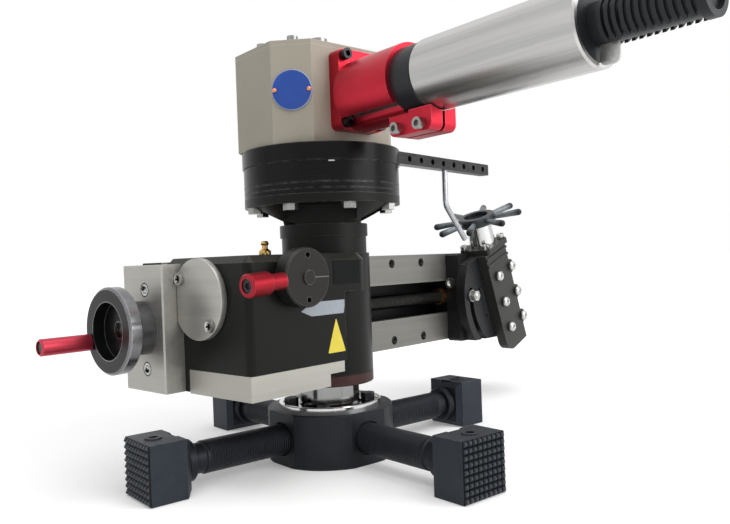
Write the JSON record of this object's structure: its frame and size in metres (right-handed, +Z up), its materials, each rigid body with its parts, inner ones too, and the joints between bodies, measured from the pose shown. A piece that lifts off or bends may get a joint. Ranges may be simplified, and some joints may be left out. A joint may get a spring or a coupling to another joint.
{
  "type": "flange facing machine",
  "caption": "Inside-mounted flange facing machine: chuck with legs and toothed pads, turning arm with carriage, leaning tool slide, star feed wheel, and gear head with air motor",
  "frame": {"origin": "on the machine's axis, in the plane of the underside of the chuck hub and the four pads, where the spigot of the mandrel ends flush", "axes": "+Z up along the axis of the mandrel; +X along the arm from the handwheel to the tool head; -Y the side with the feed dial"},
  "size_m": [0.5483, 0.4932, 0.3331],
  "materials": {
    "black_oxide_steel": "satin",
    "dark_casting": "satin",
    "polished_steel": "polished",
    "ground_steel": "satin",
    "gear_steel": "satin",
    "disc_steel": "satin",
    "grey_paint": "satin",
    "blue_paint": "gloss",
    "red_anodised": "satin",
    "satin_aluminium": "satin",
    "sleeve_aluminium": "polished",
    "black_plastic": "matt",
    "bright_screw": "satin",
    "dark_screw": "satin",
    "bronze": "satin",
    "brass": "polished",
    "brown_bronze": "satin",
    "star_grey": "satin",
    "rod_steel": "satin"
  },
  "bodies": {
    "chuck_and_drive": {"chuck_hub": "black_oxide_steel", "hub_ring": "polished_steel", "hub_bolts": "dark_screw", "mandrel": "polished_steel", "upper_gear_disc": "disc_steel", "gear_head": "grey_paint", "head_cover": "grey_paint", "head_screws": "dark_screw", "direction_disc": "blue_paint", "motor_adapter": "red_anodised", "adapter_screws": "dark_screw", "motor_cylinder": "satin_aluminium", "motor_collar": "black_plastic", "exhaust": "black_plastic", "trip_bar": "disc_steel", "trip_rod": "rod_steel"},
    "turning_arm": {"swivel_housing": "dark_casting", "main_bearings": "ground_steel", "retainer_ring": "brown_bronze", "bottom_plate": "satin_aluminium", "bell": "dark_casting", "bell_bolts": "bright_screw", "lower_gear_disc": "disc_steel", "ring_gear": "gear_steel", "round_cover": "satin_aluminium", "arm_screws": "dark_screw", "arm_body": "dark_casting", "arm_rails": "satin_aluminium", "arm_ends": "satin_aluminium", "grease_nipple": "brass"},
    "handwheel_unit": {"handwheel": "dark_casting", "lead_screw": "ground_steel"},
    "crank_grip": {"crank_handle": "red_anodised"},
    "carriage_unit": {"carriage": "dark_casting", "lead_nut": "bronze", "carriage_stud": "bright_screw", "stud_washer": "brass"},
    "swivel_unit": {"swivel_base": "dark_casting", "feed_nut": "bronze"},
    "slide_unit": {"tool_slide": "dark_casting", "tool_bolts": "bright_screw", "feed_plate": "dark_casting", "feed_collar": "polished_steel"},
    "star_unit": {"star_wheel": "star_grey", "feed_screw": "ground_steel"},
    "dial_unit": {"feed_dial": "black_oxide_steel", "feed_lever": "red_anodised", "lever_screw": "bright_screw"},
    "throttle_unit": {"throttle_sleeve": "sleeve_aluminium"},
    "pinion_unit": {"pinion_shaft": "gear_steel"},
    "motor_rotor": {"motor_spindle": "gear_steel"},
    "pad_back_right_unit": {"pad_back_right": "black_oxide_steel"},
    "leg_back_right_unit": {"leg_back_right": "black_oxide_steel"},
    "pad_back_left_unit": {"pad_back_left": "black_oxide_steel"},
    "leg_back_left_unit": {"leg_back_left": "black_oxide_steel"},
    "pad_front_left_unit": {"pad_front_left": "black_oxide_steel"},
    "leg_front_left_unit": {"leg_front_left": "black_oxide_steel"},
    "pad_front_right_unit": {"pad_front_right": "black_oxide_steel"},
    "leg_front_right_unit": {"leg_front_right": "black_oxide_steel"}
  },
  "joints": [
    {"name": "main_rotation", "type": "hinge", "parent": "chuck_and_drive", "child": "turning_arm", "pos_m": [0, 0, 0.12], "axis": [0, 0, 1], "continuous": true},
    {"name": "handwheel_turn", "type": "hinge", "parent": "turning_arm", "child": "handwheel_unit", "pos_m": [-0.16, 0.046, 0.1165], "axis": [1, 0, 0], "range_deg": [-13210, 1210]},
    {"name": "crank_spin", "type": "hinge", "parent": "handwheel_unit", "child": "crank_grip", "pos_m": [-0.19, 0.07004, 0.10799], "axis": [1, 0, 0], "continuous": true},
    {"name": "carriage_slide", "type": "slide", "parent": "turning_arm", "child": "carriage_unit", "axis": [1, 0, 0], "range_m": [-0.11, 0.01]},
    {"name": "head_swivel", "type": "hinge", "parent": "carriage_unit", "child": "swivel_unit", "pos_m": [0.293, 0.025, 0.117], "axis": [0, 1, 0], "range_deg": [-4, 42]},
    {"name": "star_turn", "type": "hinge", "parent": "slide_unit", "child": "star_unit", "pos_m": [0.25873, 0.0155, 0.18954], "axis": [-0.3584, 0, 0.9336], "range_deg": [-5, 3605]},
    {"name": "tool_feed", "type": "slide", "parent": "swivel_unit", "child": "slide_unit", "axis": [-0.3584, 0, 0.9336], "range_m": [0, 0.015]},
    {"name": "feed_setting", "type": "hinge", "parent": "turning_arm", "child": "dial_unit", "pos_m": [-0.0835, -0.06, 0.1495], "axis": [0, 1, 0], "range_deg": [-60, 60]},
    {"name": "throttle_twist", "type": "hinge", "parent": "chuck_and_drive", "child": "throttle_unit", "pos_m": [-0.02783, -0.19805, 0.286], "axis": [-0.1392, -0.9903, 0], "range_deg": [0, 60]},
    {"name": "pinion_spin", "type": "hinge", "parent": "chuck_and_drive", "child": "pinion_unit", "pos_m": [0.00445, 0.03169, 0.243], "axis": [0, 0, 1], "continuous": true},
    {"name": "motor_spin", "type": "hinge", "parent": "chuck_and_drive", "child": "motor_rotor", "pos_m": [-0.02088, -0.14854, 0.286], "axis": [-0.1392, -0.9903, 0], "continuous": true},
    {"name": "pad_back_right_slide", "type": "slide", "parent": "chuck_and_drive", "child": "pad_back_right_unit", "axis": [0.9903, -0.1392, 0], "range_m": [-0.008, 0.008]},
    {"name": "leg_back_right_turn", "type": "hinge", "parent": "pad_back_right_unit", "child": "leg_back_right_unit", "pos_m": [0.09903, -0.01392, 0.021], "axis": [0.9903, -0.1392, 0], "range_deg": [-1445, 1445]},
    {"name": "pad_back_left_slide", "type": "slide", "parent": "chuck_and_drive", "child": "pad_back_left_unit", "axis": [0.1392, 0.9903, 0], "range_m": [-0.008, 0.008]},
    {"name": "leg_back_left_turn", "type": "hinge", "parent": "pad_back_left_unit", "child": "leg_back_left_unit", "pos_m": [0.01392, 0.09903, 0.021], "axis": [0.1392, 0.9903, 0], "range_deg": [-1445, 1445]},
    {"name": "pad_front_left_slide", "type": "slide", "parent": "chuck_and_drive", "child": "pad_front_left_unit", "axis": [-0.9903, 0.1392, 0], "range_m": [-0.008, 0.008]},
    {"name": "leg_front_left_turn", "type": "hinge", "parent": "pad_front_left_unit", "child": "leg_front_left_unit", "pos_m": [-0.09903, 0.01392, 0.021], "axis": [-0.9903, 0.1392, 0], "range_deg": [-1445, 1445]},
    {"name": "pad_front_right_slide", "type": "slide", "parent": "chuck_and_drive", "child": "pad_front_right_unit", "axis": [-0.1392, -0.9903, 0], "range_m": [-0.008, 0.008]},
    {"name": "leg_front_right_turn", "type": "hinge", "parent": "pad_front_right_unit", "child": "leg_front_right_unit", "pos_m": [-0.01392, -0.09903, 0.021], "axis": [-0.1392, -0.9903, 0], "range_deg": [-1445, 1445]}
  ],
  "couplings": [
    {"joint": "handwheel_turn", "follows": "carriage_slide", "rad_per_m": 2094.4},
    {"joint": "star_turn", "follows": "tool_feed", "rad_per_m": 4188.8},
    {"joint": "pinion_spin", "follows": "main_rotation", "ratio": 3},
    {"joint": "motor_spin", "follows": "main_rotation", "ratio": 6},
    {"joint": "leg_back_right_turn", "follows": "pad_back_right_slide", "rad_per_m": 3141.6},
    {"joint": "leg_back_left_turn", "follows": "pad_back_left_slide", "rad_per_m": 3141.6},
    {"joint": "leg_front_left_turn", "follows": "pad_front_left_slide", "rad_per_m": 3141.6},
    {"joint": "leg_front_right_turn", "follows": "pad_front_right_slide", "rad_per_m": 3141.6}
  ]
}
